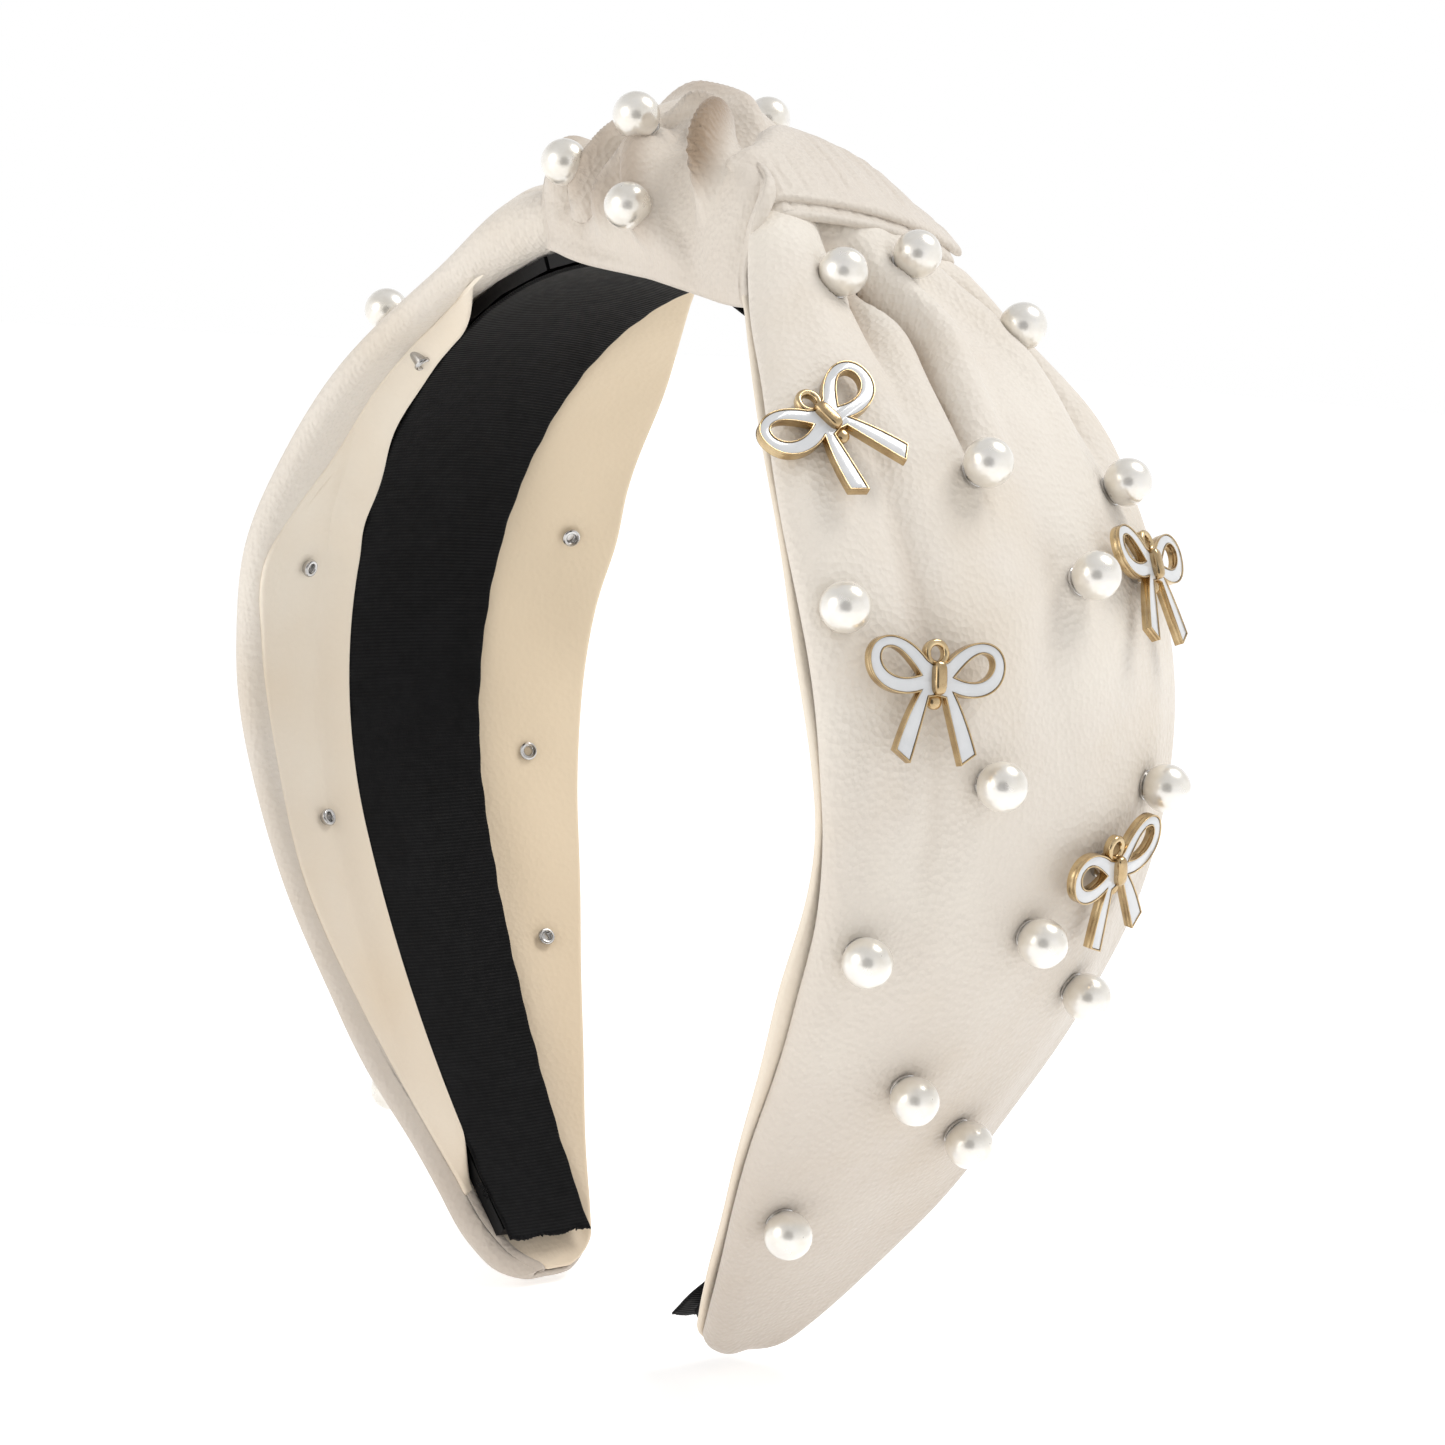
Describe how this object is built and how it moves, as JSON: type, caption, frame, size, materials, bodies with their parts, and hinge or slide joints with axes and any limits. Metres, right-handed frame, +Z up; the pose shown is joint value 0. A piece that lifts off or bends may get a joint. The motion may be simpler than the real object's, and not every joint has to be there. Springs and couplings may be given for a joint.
{
  "type": "knotted headband",
  "caption": "Wide knotted fabric headband on a springy arched hoop, scattered with pearl studs and small swivelling bow charms.",
  "frame": {"origin": "middle of the lining's inner face at the crown, where the headband rests on the head", "axes": "+Z up, +X towards one arm across the head, +Y towards the back of the head; the arms hang down along -Z"},
  "size_m": [0.1422, 0.0664, 0.1651],
  "materials": {
    "cream_satin": "cream crepe-back satin, soft sheen with a fine pebbled grain",
    "facing_satin": "warm cream facing cloth, smooth and matte",
    "black_ribbon": "black ribbed grosgrain ribbon, matte",
    "hoop_plastic": "moulded black plastic",
    "pearl": "ivory pearlescent coat",
    "silver_rivet": "bright nickel plate",
    "bow_gold": "polished pale gold plate",
    "white_enamel": "glossy white enamel fill in the bow charms"
  },
  "bodies": {
    "crown": {"hoop_crown": "hoop_plastic", "lining_crown": "black_ribbon", "knot_wrap": "cream_satin", "knot_gather": "cream_satin", "pearl_knot_1": "pearl", "pearl_knot_2": "pearl", "pearl_knot_3": "pearl", "pearl_knot_4": "pearl"},
    "left_arm": {"hoop_left": "hoop_plastic", "lining_left": "black_ribbon", "sleeve_left": "cream_satin", "facing_left": "facing_satin", "pearl_left_1": "pearl", "pearl_left_2": "pearl", "pearl_left_3": "pearl", "pearl_left_4": "pearl", "pearl_left_5": "pearl", "pearl_left_6": "pearl", "pearl_left_7": "pearl", "pearl_left_8": "pearl", "pearl_left_9": "pearl", "pearl_left_10": "pearl", "post_left_1": "silver_rivet", "post_left_2": "silver_rivet", "post_left_3": "silver_rivet", "post_left_4": "silver_rivet"},
    "right_arm": {"hoop_right": "hoop_plastic", "lining_right": "black_ribbon", "sleeve_right": "cream_satin", "facing_right": "facing_satin", "pearl_right_1": "pearl", "pearl_right_2": "pearl", "pearl_right_3": "pearl", "pearl_right_4": "pearl", "pearl_right_5": "pearl", "pearl_right_6": "pearl", "pearl_right_7": "pearl", "pearl_right_8": "pearl", "pearl_right_9": "pearl", "pearl_right_10": "pearl", "pearl_right_11": "pearl", "pearl_right_12": "pearl", "pearl_right_13": "pearl", "pearl_right_14": "pearl", "pearl_right_15": "pearl", "post_right_1": "silver_rivet", "post_right_2": "silver_rivet", "post_right_3": "silver_rivet", "post_right_4": "silver_rivet"},
    "bow_left_1_charm": {"bow_left_1": "bow_gold"},
    "bow_left_2_charm": {"bow_left_2": "bow_gold"},
    "bow_left_3_charm": {"bow_left_3": "bow_gold"},
    "bow_left_4_charm": {"bow_left_4": "bow_gold"},
    "bow_right_1_charm": {"bow_right_1": "bow_gold"},
    "bow_right_2_charm": {"bow_right_2": "bow_gold"},
    "bow_right_3_charm": {"bow_right_3": "bow_gold"},
    "bow_right_4_charm": {"bow_right_4": "bow_gold"}
  },
  "joints": [
    {"name": "left_spread", "type": "hinge", "parent": "crown", "child": "left_arm", "pos_m": [-0.01633, 0, -0.00007], "axis": [0, 1, 0], "range_deg": [-4, 18], "stiffness_Nm_per_rad": 1.5},
    {"name": "right_spread", "type": "hinge", "parent": "crown", "child": "right_arm", "pos_m": [0.01633, 0, -0.00007], "axis": [0, -1, 0], "range_deg": [-4, 18], "stiffness_Nm_per_rad": 1.5},
    {"name": "bow_left_1_swivel", "type": "hinge", "parent": "left_arm", "child": "bow_left_1_charm", "pos_m": [-0.04159, -0.00221, -0.00724], "axis": [-0.6362, -0.0286, 0.771], "range_deg": [-15, 15]},
    {"name": "bow_left_2_swivel", "type": "hinge", "parent": "left_arm", "child": "bow_left_2_charm", "pos_m": [-0.06529, -0.00882, -0.06063], "axis": [-0.9928, -0.114, -0.0358], "range_deg": [-15, 15]},
    {"name": "bow_left_3_swivel", "type": "hinge", "parent": "left_arm", "child": "bow_left_3_charm", "pos_m": [-0.05808, 0.02585, -0.03993], "axis": [-0.8981, 0.3362, 0.2836], "range_deg": [-15, 15]},
    {"name": "bow_left_4_swivel", "type": "hinge", "parent": "left_arm", "child": "bow_left_4_charm", "pos_m": [-0.06036, 0.02172, -0.07422], "axis": [-0.9276, 0.2818, -0.245], "range_deg": [-15, 15]},
    {"name": "bow_right_1_swivel", "type": "hinge", "parent": "right_arm", "child": "bow_right_1_charm", "pos_m": [0.04757, -0.02163, -0.01829], "axis": [0.7345, -0.2818, 0.6173], "range_deg": [-15, 15]},
    {"name": "bow_right_2_swivel", "type": "hinge", "parent": "right_arm", "child": "bow_right_2_charm", "pos_m": [0.06263, -0.01642, -0.04536], "axis": [0.957, -0.2126, 0.1973], "range_deg": [-15, 15]},
    {"name": "bow_right_3_swivel", "type": "hinge", "parent": "right_arm", "child": "bow_right_3_charm", "pos_m": [0.05673, 0.02383, -0.03373], "axis": [0.8728, 0.3091, 0.3777], "range_deg": [-15, 15]},
    {"name": "bow_right_4_swivel", "type": "hinge", "parent": "right_arm", "child": "bow_right_4_charm", "pos_m": [0.06371, 0.01428, -0.06828], "axis": [0.9709, 0.1846, -0.1524], "range_deg": [-15, 15]}
  ]
}
